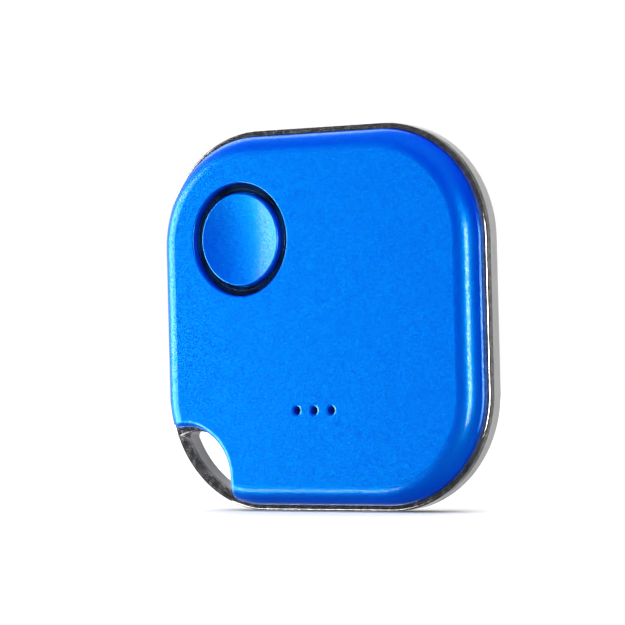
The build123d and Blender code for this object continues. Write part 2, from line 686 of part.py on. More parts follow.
PIECES = [
    front_cover, button_cap, light_ring, sound_mesh, sound_gasket, bezel_ring, inner_frame,
    back_cover, circuit_board, switch_dome, switch_film, radio_chip, antenna_chip, crystal,
    inductor, capacitors, resistors, status_lights, test_pads, buzzer_case, buzzer_plate,
    buzzer_disc, positive_contact, negative_contact, cell_can, cell_seal, cell_cap, cell_anode,
    cell_separator, cell_cathode,
]

os.makedirs("parts", exist_ok=True)
for piece in PIECES:
    write(piece.__name__, piece())
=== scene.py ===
import bmesh
import bpy
import json
import math
from mathutils import Matrix, Vector


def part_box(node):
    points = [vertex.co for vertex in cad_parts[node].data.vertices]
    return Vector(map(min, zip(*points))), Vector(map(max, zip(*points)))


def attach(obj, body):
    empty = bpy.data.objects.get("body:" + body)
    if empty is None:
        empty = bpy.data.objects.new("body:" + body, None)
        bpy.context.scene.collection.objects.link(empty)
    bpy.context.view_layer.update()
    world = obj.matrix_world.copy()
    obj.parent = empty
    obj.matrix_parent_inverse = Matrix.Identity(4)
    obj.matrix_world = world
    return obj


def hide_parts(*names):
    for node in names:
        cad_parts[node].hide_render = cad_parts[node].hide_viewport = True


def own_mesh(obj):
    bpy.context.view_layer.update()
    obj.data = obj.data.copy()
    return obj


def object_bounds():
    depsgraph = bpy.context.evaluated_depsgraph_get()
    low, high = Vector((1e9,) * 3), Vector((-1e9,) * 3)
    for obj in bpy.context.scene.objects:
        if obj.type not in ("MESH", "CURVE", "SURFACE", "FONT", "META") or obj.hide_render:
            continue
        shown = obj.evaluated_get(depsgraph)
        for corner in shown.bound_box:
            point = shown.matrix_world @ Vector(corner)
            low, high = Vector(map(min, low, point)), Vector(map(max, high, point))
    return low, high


# Rounded-square press-button tracker tag: pearl-blue front cover and button, a plated bezel,
# a satin band with the key loop, and a battery cover that pulls off the back.

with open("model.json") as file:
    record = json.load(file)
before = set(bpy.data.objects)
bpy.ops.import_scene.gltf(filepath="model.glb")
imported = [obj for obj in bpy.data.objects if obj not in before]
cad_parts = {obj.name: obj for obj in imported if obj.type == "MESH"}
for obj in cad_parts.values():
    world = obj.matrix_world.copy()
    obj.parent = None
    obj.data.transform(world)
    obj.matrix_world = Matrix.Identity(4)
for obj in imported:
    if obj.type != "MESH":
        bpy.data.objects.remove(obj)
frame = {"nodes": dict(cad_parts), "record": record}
CAD_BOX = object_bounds()
MM = 0.001

# Camera: a long lens in front of the right-hand side, almost level with the tag's middle
CAMERA_YAW = 34.03
CAMERA_PITCH = -0.22
CAMERA_ROLL = -1.43
CAMERA_DISTANCE = 313.9 * MM
CAMERA_AIM_DEPTH = -4.87 * MM
CAMERA_LENS = 195.2
CAMERA_SHIFT = (0.0197, 0.0109)
CAMERA_SENSOR = 36.0

# Mesh building
MERGE_DISTANCE = 0.001 * MM
LATHE_MERGE_DISTANCE = 0.0005 * MM
SHARP_ANGLE = 32

# Light ring: reaches in from its flange's edge, and its lip
RING_RIM_REACH = 0.85 * MM
RING_INNER_REACH = 1.65 * MM
RING_FLANGE_WALL = 0.18 * MM
RING_EDGE_ROUND = 0.05 * MM
RING_RIM_ROUND = 0.06 * MM
LIP_OFFSET = 0.3 * MM
LIP_RISE = 0.05 * MM
LIP_HALF_WIDTH = 0.06 * MM

# Coin cell's can
CAN_WALL = 0.25 * MM
CAN_SHOULDER = 0.3 * MM
CAN_SINK = 0.05 * MM
CAN_CRIMP = 0.1 * MM

# Studio
FLOOR_RADIUS = 0.5

# Each light's azimuth, elevation, distance, width, height and radiance
LIGHTS = {
    "strip_right": (51, -7, 0.8, 0.25, 0.5, 19.0),
    "wall_left": (-66, -6, 0.8, 0.56, 0.7, 6.8),
    "low_front": (-45, -27, 0.8, 0.42, 0.16, 6.5),
    "high_left": (-132, 38, 0.8, 0.6, 0.4, 2.0),
    "ceiling": (0, 85, 1.0, 1.6, 1.6, 3.2),
}
# Lights that gloss doesn't show
UNMIRRORED_LIGHTS = ("ceiling",)


# ---------------------------------------------------------------- shader helpers

def link(tree, source, target):
    """Join an output socket to an input socket."""
    tree.links.new(source, target)


def add_node(tree, kind, **values):
    """Add a shader node and set its inputs by name, with _ for a space, and its properties."""
    node = tree.nodes.new(kind)
    for name, value in values.items():
        label = name.replace("_", " ")
        if label in node.inputs:
            node.inputs[label].default_value = value
        else:
            setattr(node, name, value)
    return node


def math_node(tree, operation, first, second):
    """Math node whose inputs are sockets or plain numbers."""
    node = add_node(tree, "ShaderNodeMath", operation=operation)
    for place, value in enumerate((first, second)):
        if isinstance(value, (int, float)):
            node.inputs[place].default_value = value
        else:
            link(tree, value, node.inputs[place])
    return node.outputs[0]


def ramp(tree, factor, stops):
    """Colour ramp from (position, colour) stops."""
    node = add_node(tree, "ShaderNodeValToRGB")
    elements = node.color_ramp.elements
    while len(elements) < len(stops):
        elements.new(0.5)
    for element, (position, colour) in zip(elements, stops):
        element.position = position
        element.color = (*colour, 1.0)
    link(tree, factor, node.inputs["Fac"])
    return node.outputs["Color"]


def span(tree, factor, low, high, start=0.0, end=1.0):
    """Map a value from one range to another, clamped."""
    node = add_node(tree, "ShaderNodeMapRange", clamp=True)
    limits = {"From Min": start, "From Max": end, "To Min": low, "To Max": high}
    for name, value in limits.items():
        node.inputs[name].default_value = value
    link(tree, factor, node.inputs["Value"])
    return node.outputs["Result"]


def new_group(name, inputs, outputs):
    """Node group with float inputs that have defaults, and outputs of a given socket type."""
    group = bpy.data.node_groups.new(name, "ShaderNodeTree")
    for label, default in inputs.items():
        socket = group.interface.new_socket(label, in_out="INPUT", socket_type="NodeSocketFloat")
        socket.default_value = default
    for label, kind in outputs.items():
        group.interface.new_socket(label, in_out="OUTPUT", socket_type=kind)
    entry = group.nodes.new("NodeGroupInput")
    leave = group.nodes.new("NodeGroupOutput")
    return group, entry.outputs, leave.inputs


def object_noise(tree, scale, detail, coordinates):
    """Noise texture on given coordinates; the scale is a number or a socket."""
    noise = add_node(tree, "ShaderNodeTexNoise", Detail=detail)
    link(tree, coordinates, noise.inputs["Vector"])
    if isinstance(scale, (int, float)):
        noise.inputs["Scale"].default_value = scale
    else:
        link(tree, scale, noise.inputs["Scale"])
    return noise.outputs["Fac"]


# ---------------------------------------------------------------- shared effects

def make_flake_group():
    """Flat metal flakes at slightly different tilts: a normal and a brightness for each."""
    group, entry, leave = new_group(
        "metal_flakes", {"Flake Size": 0.1 * MM, "Tilt": 0.2},
        {"Normal": "NodeSocketVector", "Value": "NodeSocketFloat"})
    coordinates = add_node(group, "ShaderNodeTexCoord").outputs["Object"]
    cells = add_node(group, "ShaderNodeTexVoronoi", feature="F1")
    link(group, coordinates, cells.inputs["Vector"])
    link(group, math_node(group, "DIVIDE", 1.0, entry["Flake Size"]), cells.inputs["Scale"])
    centred = add_node(group, "ShaderNodeVectorMath", operation="SUBTRACT")
    link(group, cells.outputs["Color"], centred.inputs[0])
    centred.inputs[1].default_value = (0.5, 0.5, 0.5)
    tilt = add_node(group, "ShaderNodeVectorMath", operation="SCALE")
    link(group, centred.outputs["Vector"], tilt.inputs[0])
    link(group, entry["Tilt"], tilt.inputs["Scale"])
    surface = add_node(group, "ShaderNodeNewGeometry").outputs["Normal"]
    tilted = add_node(group, "ShaderNodeVectorMath", operation="ADD")
    link(group, surface, tilted.inputs[0])
    link(group, tilt.outputs["Vector"], tilted.inputs[1])
    unit = add_node(group, "ShaderNodeVectorMath", operation="NORMALIZE")
    link(group, tilted.outputs["Vector"], unit.inputs[0])
    link(group, unit.outputs["Vector"], leave["Normal"])
    parts = add_node(group, "ShaderNodeSeparateColor")
    link(group, cells.outputs["Color"], parts.inputs[0])
    link(group, parts.outputs[0], leave["Value"])
    return group


def make_grain_group():
    """Fine moulded or plated grain: a height for bump, and a slow cloudy mask."""
    group, entry, leave = new_group(
        "fine_grain", {"Grain Size": 0.1 * MM, "Cloud Size": 4 * MM},
        {"Height": "NodeSocketFloat", "Cloud": "NodeSocketFloat"})
    coordinates = add_node(group, "ShaderNodeTexCoord").outputs["Object"]
    grain_scale = math_node(group, "DIVIDE", 1.0, entry["Grain Size"])
    cloud_scale = math_node(group, "DIVIDE", 1.0, entry["Cloud Size"])
    link(group, object_noise(group, grain_scale, 2.0, coordinates), leave["Height"])
    link(group, object_noise(group, cloud_scale, 3.0, coordinates), leave["Cloud"])
    return group


FLAKES = make_flake_group()
GRAIN = make_grain_group()


def use_group(tree, group, **values):
    """Place a shared effect in a material; underscores in names stand for spaces."""
    node = tree.nodes.new("ShaderNodeGroup")
    node.node_tree = group
    for name, value in values.items():
        node.inputs[name.replace("_", " ")].default_value = value
    return node.outputs


def bump(tree, height, strength, distance):
    """Normal of a surface raised by a height."""
    node = add_node(tree, "ShaderNodeBump", Strength=strength, Distance=distance)
    link(tree, height, node.inputs["Height"])
    return node.outputs["Normal"]


def new_material(name, **constants):
    """Material with a Principled shader whose constants sit on its own sockets."""
    material = bpy.data.materials.new(name)
    material.use_nodes = True
    shader = material.node_tree.nodes["Principled BSDF"]
    for label, value in constants.items():
        shader.inputs[label.replace("_", " ")].default_value = value
    return material, material.node_tree, shader.inputs


# ---------------------------------------------------------------- finishes

def pearl_lacquer(name, dark, bright, sheen):
    """Pearl lacquer: deep pigment, a wide tinted gloss from the flakes, and a clear coat."""
    material, tree, shader = new_material(
        name, IOR=2.4, Specular_IOR_Level=1.0, Coat_Roughness=0.14, Coat_IOR=1.5)
    shader["Specular Tint"].default_value = (*sheen, 1.0)
    flakes = use_group(tree, FLAKES, Flake_Size=0.09 * MM, Tilt=0.13)
    grain = use_group(tree, GRAIN, Grain_Size=0.16 * MM, Cloud_Size=0.9 * MM)
    blend = math_node(tree, "MULTIPLY", flakes["Value"], 0.55)
    blend = math_node(tree, "ADD", blend, math_node(tree, "MULTIPLY", grain["Cloud"], 0.45))
    link(tree, ramp(tree, blend, [(0.2, dark), (0.8, bright)]), shader["Base Color"])
    link(tree, span(tree, flakes["Value"], 0.46, 0.41, 0.6, 1.0), shader["Roughness"])
    link(tree, span(tree, grain["Height"], 0.1, 0.8, 0.4, 0.6), shader["Coat Weight"])
    link(tree, flakes["Normal"], shader["Normal"])
    return material


def bright_plating(name, colour, roughness):
    """Bright plating with a slightly pebbled skin that breaks up its reflections."""
    material, tree, shader = new_material(name, Metallic=0.92, IOR=1.5)
    grain = use_group(tree, GRAIN, Grain_Size=0.1 * MM, Cloud_Size=0.5 * MM)
    dull = tuple(channel * 0.6 for channel in colour)
    link(tree, ramp(tree, grain["Cloud"], [(0.38, dull), (0.6, colour)]), shader["Base Color"])
    link(tree, span(tree, grain["Cloud"], roughness * 0.7, roughness * 1.5, 0.3, 0.7),
         shader["Roughness"])
    link(tree, bump(tree, grain["Height"], 0.6, 0.012 * MM), shader["Normal"])
    return material


def satin_plating(name, colour, roughness):
    """Satin silver paint on moulded plastic: fine grain and a soft cloudy sheen."""
    material, tree, shader = new_material(name, Metallic=0.5, IOR=1.45)
    grain = use_group(tree, GRAIN, Grain_Size=0.12 * MM, Cloud_Size=3.0 * MM)
    shaded = tuple(channel * 0.96 for channel in colour)
    link(tree, ramp(tree, grain["Cloud"], [(0.3, shaded), (0.7, colour)]), shader["Base Color"])
    link(tree, span(tree, grain["Height"], roughness * 0.85, roughness * 1.15, 0.3, 0.7),
         shader["Roughness"])
    link(tree, bump(tree, grain["Height"], 0.35, 0.01 * MM), shader["Normal"])
    return material


def moulded(name, colour, roughness, grain_size=0.12, depth=0.01, spread=0.25):
    """Moulded resin, rubber or ceramic with a fine texture and slight colour drift."""
    material, tree, shader = new_material(name, IOR=1.5)
    grain = use_group(tree, GRAIN, Grain_Size=grain_size * MM, Cloud_Size=2.0 * MM)
    shaded = tuple(channel * (1 - spread) for channel in colour)
    link(tree, ramp(tree, grain["Cloud"], [(0.3, shaded), (0.7, colour)]), shader["Base Color"])
    link(tree, span(tree, grain["Height"], roughness * 0.8, roughness * 1.2), shader["Roughness"])
    link(tree, bump(tree, grain["Height"], 0.4, depth * MM), shader["Normal"])
    return material


def sheet_metal(name, colour, roughness):
    """Rolled or stamped metal: fine streaks along one way, and handling marks."""
    material, tree, shader = new_material(name, Metallic=1.0)
    coordinates = add_node(tree, "ShaderNodeTexCoord").outputs["Object"]
    stretch = add_node(tree, "ShaderNodeMapping", Scale=(0.06, 1.0, 1.0))
    link(tree, coordinates, stretch.inputs["Vector"])
    streaks = object_noise(tree, 1 / (0.08 * MM), 3.0, stretch.outputs["Vector"])
    marks = use_group(tree, GRAIN, Grain_Size=0.3 * MM, Cloud_Size=2.5 * MM)
    worn = tuple(channel * 0.75 for channel in colour)
    link(tree, ramp(tree, marks["Cloud"], [(0.35, worn), (0.65, colour)]), shader["Base Color"])
    link(tree, span(tree, streaks, roughness * 0.7, roughness * 1.4, 0.3, 0.7),
         shader["Roughness"])
    link(tree, bump(tree, streaks, 0.3, 0.006 * MM), shader["Normal"])
    return material


def woven_mesh(name):
    """Black dust mesh: two crossed sets of threads."""
    material, tree, shader = new_material(name, Roughness=0.6)
    coordinates = add_node(tree, "ShaderNodeTexCoord").outputs["Object"]
    threads = []
    for direction in ("X", "Z"):
        wave = add_node(tree, "ShaderNodeTexWave", bands_direction=direction,
                        Scale=1 / (0.6 * MM))
        link(tree, coordinates, wave.inputs["Vector"])
        threads.append(wave.outputs["Fac"])
    weave = math_node(tree, "MAXIMUM", *threads)
    colours = [(0.35, (0.001, 0.001, 0.001)), (0.9, (0.03, 0.03, 0.032))]
    link(tree, ramp(tree, weave, colours), shader["Base Color"])
    link(tree, bump(tree, weave, 0.8, 0.03 * MM), shader["Normal"])
    return material


def board_finish(name):
    """Dark solder mask over faint copper tracks."""
    material, tree, shader = new_material(name, IOR=1.5, Coat_Weight=0.6, Coat_Roughness=0.2)
    coordinates = add_node(tree, "ShaderNodeTexCoord").outputs["Object"]
    tracks = add_node(tree, "ShaderNodeTexBrick", Scale=1 / (4.0 * MM), Mortar_Size=0.035)
    turn = add_node(tree, "ShaderNodeMapping", Rotation=(math.radians(90), 0, 0))
    link(tree, coordinates, turn.inputs["Vector"])
    link(tree, turn.outputs["Vector"], tracks.inputs["Vector"])
    colours = [(0.0, (0.004, 0.016, 0.012)), (1.0, (0.012, 0.05, 0.03))]
    link(tree, ramp(tree, tracks.outputs["Fac"], colours), shader["Base Color"])
    grain = use_group(tree, GRAIN, Grain_Size=0.2 * MM, Cloud_Size=2.0 * MM)
    link(tree, span(tree, grain["Cloud"], 0.3, 0.45), shader["Roughness"])
    link(tree, bump(tree, tracks.outputs["Fac"], 0.5, 0.02 * MM), shader["Normal"])
    return material


def smoked_resin(name):
    """Dark polished light guide around the button, bluer in random cloudy patches."""
    material, tree, shader = new_material(name, IOR=1.49, Coat_Weight=0.4, Coat_Roughness=0.04)
    grain = use_group(tree, GRAIN, Grain_Size=0.25 * MM, Cloud_Size=1.6 * MM)
    colours = [(0.35, (0.0006, 0.004, 0.02)), (0.65, (0.001, 0.02, 0.08))]
    link(tree, ramp(tree, grain["Cloud"], colours), shader["Base Color"])
    link(tree, bump(tree, grain["Height"], 0.5, 0.02 * MM), shader["Normal"])
    link(tree, span(tree, grain["Cloud"], 0.1, 0.18), shader["Roughness"])
    return material


def clear_film(name):
    """Clear adhesive film over the dome switch."""
    material, tree, shader = new_material(name, Transmission_Weight=0.9, IOR=1.5)
    grain = use_group(tree, GRAIN, Grain_Size=0.3 * MM, Cloud_Size=1.0 * MM)
    colours = [(0.3, (0.85, 0.88, 0.9)), (0.7, (0.95, 0.96, 0.97))]
    link(tree, ramp(tree, grain["Cloud"], colours), shader["Base Color"])
    link(tree, span(tree, grain["Cloud"], 0.12, 0.25), shader["Roughness"])
    return material


BLUE_DARK = (0.0, 0.01, 0.6)
BLUE_BRIGHT = (0.0, 0.02, 0.71)
BLUE_SHEEN = (0.0, 0.56, 1.0)

FINISHES = {
    "blue_lacquer": pearl_lacquer("blue_lacquer", BLUE_DARK, BLUE_BRIGHT, BLUE_SHEEN),
    "blue_lacquer_button": pearl_lacquer("blue_lacquer_button", BLUE_DARK, BLUE_BRIGHT,
                                         BLUE_SHEEN),
    "smoked_ring": smoked_resin("smoked_ring"),
    "dust_mesh": woven_mesh("dust_mesh"),
    "foam": moulded("foam", (0.03, 0.03, 0.03), 0.9, grain_size=0.15, depth=0.05),
    "bright_plate": bright_plating("bright_plate", (0.62, 0.62, 0.63), 0.13),
    "plated_frame": satin_plating("plated_frame", (0.62, 0.615, 0.61), 0.36),
    "satin_back": satin_plating("satin_back", (0.58, 0.58, 0.58), 0.42),
    "board": board_finish("board"),
    "spring_steel": sheet_metal("spring_steel", (0.62, 0.61, 0.6), 0.22),
    "clear_film": clear_film("clear_film"),
    "chip_resin": moulded("chip_resin", (0.02, 0.02, 0.021), 0.5),
    "ceramic_white": moulded("ceramic_white", (0.75, 0.74, 0.70), 0.45, spread=0.08),
    "nickel_can": sheet_metal("nickel_can", (0.66, 0.64, 0.60), 0.2),
    "ferrite": moulded("ferrite", (0.05, 0.048, 0.046), 0.55),
    "capacitor_tan": moulded("capacitor_tan", (0.42, 0.28, 0.17), 0.45),
    "resistor_black": moulded("resistor_black", (0.02, 0.02, 0.022), 0.35),
    "phosphor": moulded("phosphor", (0.85, 0.6, 0.08), 0.4, spread=0.1),
    "light_white": moulded("light_white", (0.8, 0.79, 0.72), 0.35, spread=0.05),
    "gold_pad": sheet_metal("gold_pad", (0.85, 0.62, 0.28), 0.25),
    "buzzer_resin": moulded("buzzer_resin", (0.022, 0.022, 0.024), 0.55),
    "brass": sheet_metal("brass", (0.78, 0.58, 0.28), 0.25),
    "piezo_ceramic": moulded("piezo_ceramic", (0.72, 0.70, 0.66), 0.5, spread=0.08),
    "nickel_sheet": sheet_metal("nickel_sheet", (0.68, 0.66, 0.62), 0.22),
    "cell_steel": sheet_metal("cell_steel", (0.66, 0.65, 0.63), 0.2),
    "cell_nylon": moulded("cell_nylon", (0.35, 0.36, 0.38), 0.45, spread=0.1),
    "lithium": sheet_metal("lithium", (0.6, 0.6, 0.6), 0.35),
    "paper_separator": moulded("paper_separator", (0.78, 0.77, 0.73), 0.85, spread=0.06),
    "manganese_oxide": moulded("manganese_oxide", (0.03, 0.03, 0.03), 0.85, depth=0.03),
}

SLOT_OF = {part["node"]: part["material_slot"] for part in frame["record"]["subparts"]}


def dress_nodes():
    """Give every carried-over node the finish of its own material slot."""
    for name, piece in frame["nodes"].items():
        piece.data.materials.clear()
        piece.data.materials.append(FINISHES[SLOT_OF[name]])


# ---------------------------------------------------------------- piece helpers

def solid_boxes(name):
    """Lowest and highest corners of each separate solid of a node."""
    shape = bmesh.new()
    shape.from_mesh(frame["nodes"][name].data)
    bmesh.ops.remove_doubles(shape, verts=shape.verts, dist=MERGE_DISTANCE)
    boxes, seen = [], set()
    for seed in shape.verts:
        if seed in seen:
            continue
        seen.add(seed)
        points, queue = [], [seed]
        while queue:
            vert = queue.pop()
            points.append(vert.co.copy())
            for edge in vert.link_edges:
                other = edge.other_vert(vert)
                if other not in seen:
                    seen.add(other)
                    queue.append(other)
        low = Vector([min(point[axis] for point in points) for axis in range(3)])
        high = Vector([max(point[axis] for point in points) for axis in range(3)])
        boxes.append((low, high))
    shape.free()
    return boxes


def round_edges(shape, edges, rounding, segments=2):
    """Round some edges of a shape."""
    bmesh.ops.bevel(shape, geom=list(edges), offset=rounding, segments=segments, profile=0.5,
                    affect="EDGES", material=-1)


def add_box(shape, low, high, rounding, finish=0):
    """Box between two corners with rounded edges."""
    low, high = Vector(low), Vector(high)
    made = bmesh.ops.create_cube(shape, size=1.0)["verts"]
    bmesh.ops.scale(shape, vec=high - low, verts=made)
    bmesh.ops.translate(shape, vec=(low + high) / 2, verts=made)
    faces = {face for vert in made for face in vert.link_faces}
    for face in faces:
        face.material_index = finish
    round_edges(shape, {edge for face in faces for edge in face.edges}, rounding)


def add_disc(shape, x, z, radius, front, back, rounding, finish=0, segments=48):
    """Round plate that faces along the depth, with a rounded rim on both sides."""
    made = bmesh.ops.create_cone(shape, cap_ends=True, cap_tris=False, segments=segments,
                                 radius1=radius, radius2=radius, depth=back - front)["verts"]
    bmesh.ops.rotate(shape, verts=made, cent=(0, 0, 0),
                     matrix=Matrix.Rotation(math.radians(90), 3, "X"))
    bmesh.ops.translate(shape, vec=(x, (front + back) / 2, z), verts=made)
    faces = {face for vert in made for face in vert.link_faces}
    for face in faces:
        face.material_index = finish
    rims = {edge for face in faces if len(face.verts) > 4 for edge in face.edges}
    round_edges(shape, rims, rounding)


def add_lathe(shape, x, z, profile, finish=0, steps=128):
    """Turned shell from (radius, depth) points; the profile is closed or ends on the axis."""
    axis = Vector((x, 0, z))
    chain = [shape.verts.new((x + radius, depth, z)) for radius, depth in profile]
    edges = [shape.edges.new(pair) for pair in zip(chain, chain[1:])]
    bmesh.ops.spin(shape, geom=chain + edges, cent=axis, axis=(0, 1, 0), dvec=(0, 0, 0),
                   angle=math.radians(360), steps=steps, use_merge=True, use_duplicate=False)
    bmesh.ops.remove_doubles(shape, verts=shape.verts, dist=LATHE_MERGE_DISTANCE)
    for face in shape.faces:
        face.material_index = finish


def place_piece(shape, name, body, node, finishes):
    """Turn a finished bmesh into a piece that rides on a body and stands for a CAD node."""
    bmesh.ops.recalc_face_normals(shape, faces=shape.faces)
    for face in shape.faces:
        face.smooth = True
    mesh = bpy.data.meshes.new(name)
    shape.to_mesh(mesh)
    shape.free()
    mesh.set_sharp_from_angle(angle=math.radians(SHARP_ANGLE))
    for finish in finishes:
        mesh.materials.append(FINISHES[finish])
    piece = bpy.data.objects.new(name, mesh)
    bpy.context.scene.collection.objects.link(piece)
    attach(piece, body)
    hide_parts(node)
    return piece


# ---------------------------------------------------------------- button surround and switch

def build_light_ring():
    """Light guide round the button: polished face with a fine raised lip, and its flange."""
    low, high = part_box("light_ring")
    x, z = (low.x + high.x) / 2, (low.z + high.z) / 2
    outer = (high.x - low.x) / 2
    rim, inner = outer - RING_RIM_REACH, outer - RING_INNER_REACH
    face, back = low.y + LIP_RISE, high.y
    lip = inner + LIP_OFFSET
    profile = [(inner, back), (inner, face + RING_EDGE_ROUND), (inner + RING_EDGE_ROUND, face),
               (lip - LIP_HALF_WIDTH, face)]
    for step in range(1, 6):
        angle = math.radians(180 - 30 * step)
        profile.append((lip + LIP_RISE * math.cos(angle), face - LIP_RISE * math.sin(angle)))
    profile += [(lip + LIP_HALF_WIDTH, face), (rim - RING_RIM_ROUND, face),
                (rim, face + RING_RIM_ROUND), (rim, back - RING_FLANGE_WALL),
                (outer, back - RING_FLANGE_WALL), (outer, back), (inner, back)]
    shape = bmesh.new()
    add_lathe(shape, x, z, profile)
    return place_piece(shape, "light_ring_guide", "tag", "light_ring",
                       ["smoked_ring"])


def build_switch_sheet(node):
    """Sprung sheet under the button, which on the real switch flattens against the board as it is
    pressed; the piece keeps its CAD node's resting shape.
    """
    shape = bmesh.new()
    shape.from_mesh(frame["nodes"][node].data)
    bmesh.ops.remove_doubles(shape, verts=shape.verts, dist=MERGE_DISTANCE)
    piece = place_piece(shape, node + "_sheet", "tag", node, [SLOT_OF[node]])
    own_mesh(piece)
    return piece


# ---------------------------------------------------------------- board parts

def build_end_capped(node, core, coat=None):
    """Chip parts with wrapped metal ends; coat is a printed layer on the outer face."""
    shape = bmesh.new()
    for low, high in solid_boxes(node):
        size = high - low
        along, across = (0, 2) if size.x > size.z else (2, 0)
        cap = size[along] * 0.22
        step = size.y * 0.05
        core_low, core_high = low.copy(), high.copy()
        core_low[along] += cap * 0.8
        core_high[along] -= cap * 0.8
        core_low[across] += step
        core_high[across] -= step
        core_low.y += step
        core_high.y -= step
        add_box(shape, core_low, core_high, 0.02 * MM, 0)
        for end in (0, 1):
            cap_low, cap_high = low.copy(), high.copy()
            if end:
                cap_low[along] = high[along] - cap
            else:
                cap_high[along] = low[along] + cap
            add_box(shape, cap_low, cap_high, 0.05 * MM, 1)
        if coat:
            coat_low, coat_high = core_low.copy(), core_high.copy()
            coat_low.y = core_high.y - 0.02 * MM
            coat_high.y = core_high.y + step * 0.7
            coat_low[across] += 2 * step
            coat_high[across] -= 2 * step
            coat_low[along] += cap * 0.3
            coat_high[along] -= cap * 0.3
            add_box(shape, coat_low, coat_high, 0.005 * MM, 2)
    finishes = [core, "nickel_can"] + ([coat] if coat else [])
    return place_piece(shape, node + "_capped", "tag", node, finishes)


def build_radio_chip():
    """Leadless package: moulded body, a round first-pin mark, and pads on each side."""
    low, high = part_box("radio_chip")
    shape = bmesh.new()
    inset = 0.04 * MM
    add_box(shape, (low.x + inset, low.y, low.z + inset),
            (high.x - inset, high.y - 0.015 * MM, high.z - inset), 0.05 * MM, 0)
    pad_width, pitch, count = 0.24 * MM, 0.45 * MM, 7
    middle_x, middle_z = (low.x + high.x) / 2, (low.z + high.z) / 2
    top = low.y + 0.2 * MM
    for place in range(count):
        shift = (place - (count - 1) / 2) * pitch
        for edge in (low.x, high.x - 2 * inset):
            add_box(shape, (edge, low.y, middle_z + shift - pad_width / 2),
                    (edge + 2 * inset, top, middle_z + shift + pad_width / 2), 0.012 * MM, 1)
        for edge in (low.z, high.z - 2 * inset):
            add_box(shape, (middle_x + shift - pad_width / 2, low.y, edge),
                    (middle_x + shift + pad_width / 2, top, edge + 2 * inset), 0.012 * MM, 1)
    add_disc(shape, low.x + 0.6 * MM, high.z - 0.6 * MM, 0.2 * MM, high.y - 0.03 * MM,
             high.y - 0.004 * MM, 0.004 * MM, 2, segments=32)
    return place_piece(shape, "radio_chip_package", "tag", "radio_chip",
                       ["chip_resin", "gold_pad", "resistor_black"])


def build_crystal():
    """Crystal can: ceramic base, and a metal lid with a seam flange."""
    low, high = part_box("crystal")
    shape = bmesh.new()
    base = low.y + (high.y - low.y) * 0.45
    add_box(shape, (low.x, low.y, low.z), (high.x, base, high.z), 0.06 * MM, 0)
    rim = 0.09 * MM
    add_box(shape, (low.x + rim, base - 0.02 * MM, low.z + rim),
            (high.x - rim, base + 0.05 * MM, high.z - rim), 0.02 * MM, 1)
    rim = 0.16 * MM
    add_box(shape, (low.x + rim, base, low.z + rim), (high.x - rim, high.y, high.z - rim),
            0.07 * MM, 1)
    return place_piece(shape, "crystal_can", "tag", "crystal",
                       ["ceramic_white", "nickel_can"])


def build_status_lights():
    """Lights with a white reflector body, an end pad on each side and a phosphor window."""
    shape = bmesh.new()
    for low, high in solid_boxes("status_lights"):
        pad = 0.16 * MM
        add_box(shape, (low.x + pad * 0.4, low.y, low.z + pad * 0.2),
                (high.x - pad * 0.4, high.y - 0.04 * MM, high.z - pad * 0.2), 0.05 * MM, 0)
        for edge in (low.x, high.x - pad):
            add_box(shape, (edge, low.y + 0.1 * MM, low.z + pad),
                    (edge + pad, high.y, high.z - pad), 0.03 * MM, 1)
        add_disc(shape, (low.x + high.x) / 2, (low.z + high.z) / 2, 0.45 * MM,
                 high.y - 0.06 * MM, high.y - 0.01 * MM, 0.01 * MM, 2, segments=32)
    return place_piece(shape, "status_lights_packages", "tag", "status_lights",
                       ["light_white", "nickel_can", "phosphor"])


# ---------------------------------------------------------------- coin cell

def build_cell_can():
    """Drawn cup with a rounded shoulder, a recessed face and a raised plus sign."""
    low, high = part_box("cell_can")
    x, z = (low.x + high.x) / 2, (low.z + high.z) / 2
    radius = (high.x - low.x) / 2
    back, front = high.y, low.y
    profile = [(0.0, back - CAN_SINK), (radius * 0.84, back - CAN_SINK),
               (radius * 0.85, back - CAN_SINK),
               (radius * 0.862, back - 0.012 * MM), (radius * 0.875, back)]
    for step in range(7):
        angle = math.radians(90 - 15 * step)
        profile.append((radius - CAN_SHOULDER + CAN_SHOULDER * math.cos(angle),
                        back - CAN_SHOULDER + CAN_SHOULDER * math.sin(angle)))
    for step in range(5):
        angle = math.radians(-22.5 * step)
        profile.append((radius - CAN_CRIMP + CAN_CRIMP * math.cos(angle),
                        front + CAN_CRIMP + CAN_CRIMP * math.sin(angle)))
    profile += [(radius - CAN_WALL, front + 0.02 * MM),
                (radius - CAN_WALL, back - CAN_WALL - CAN_SINK),
                (0.0, back - CAN_WALL - CAN_SINK)]
    shape = bmesh.new()
    add_lathe(shape, x, z, profile)
    reach, half = radius * 0.2, radius * 0.032
    face = back - CAN_SINK - 0.02 * MM
    add_box(shape, (x - reach, face, z + radius * 0.5 - half),
            (x + reach, back - 0.012 * MM, z + radius * 0.5 + half), 0.018 * MM, 0)
    add_box(shape, (x - half, face, z + radius * 0.5 - reach),
            (x + half, back - 0.011 * MM, z + radius * 0.5 + reach), 0.018 * MM, 0)
    return place_piece(shape, "cell_can_pressed", "tag", "cell_can", ["cell_steel"])


# ---------------------------------------------------------------- studio

